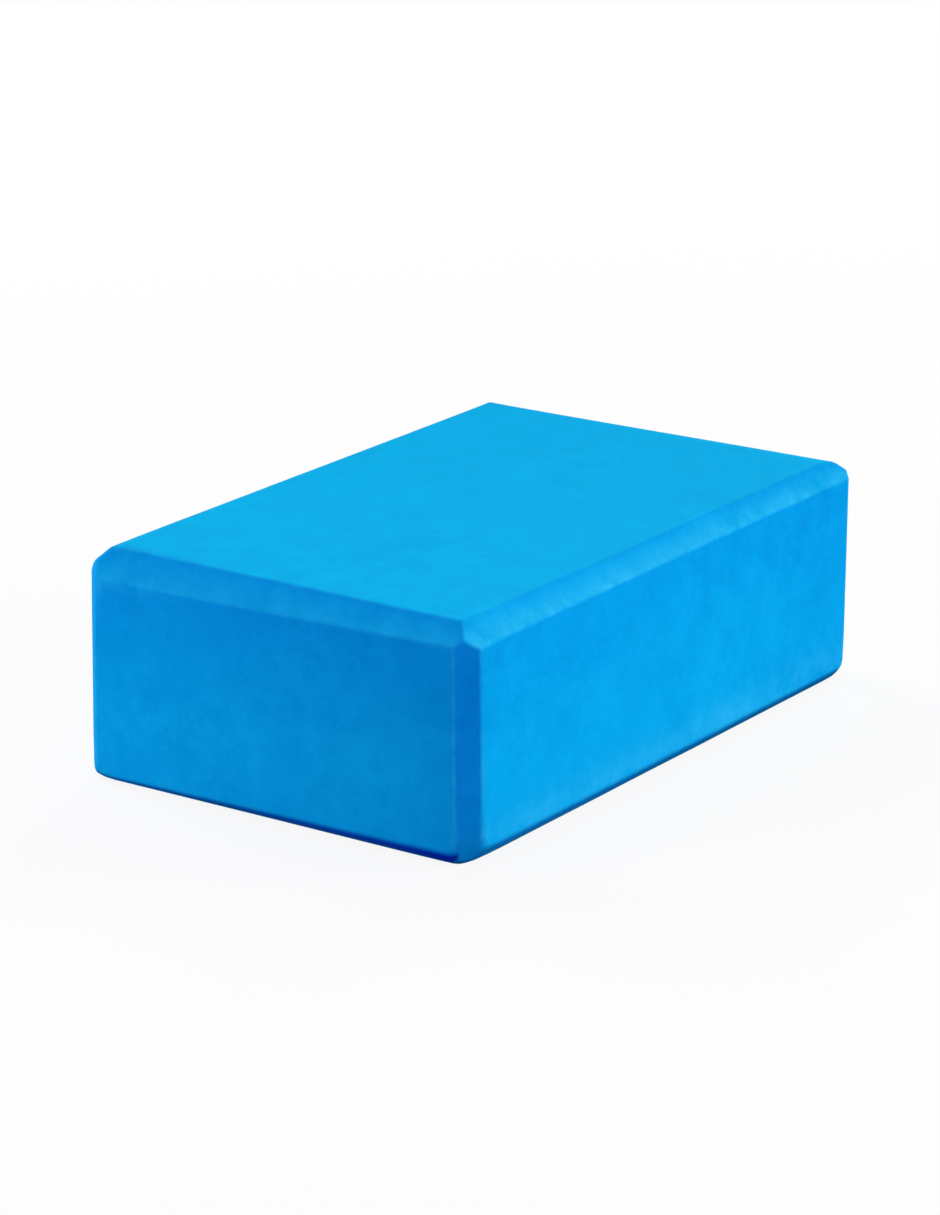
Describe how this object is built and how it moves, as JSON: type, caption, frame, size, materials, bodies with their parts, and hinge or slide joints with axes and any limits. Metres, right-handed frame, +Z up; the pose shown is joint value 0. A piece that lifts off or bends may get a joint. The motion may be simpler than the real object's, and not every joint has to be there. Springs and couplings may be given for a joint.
{
  "type": "foam yoga block",
  "caption": "Rectangular closed-cell foam block with a 45 degree bevel on every edge and mitred corners, for support, reach and balance in floor exercise.",
  "frame": {"origin": "middle of the base, on the surface that the block lies on", "axes": "+X along the length, +Y across the width, +Z up through the height, which is the shortest side"},
  "size_m": [0.2286, 0.1524, 0.0762],
  "materials": {
    "foam": "matte"
  },
  "bodies": {
    "root": {"foam_block": "foam"}
  },
  "joints": []
}
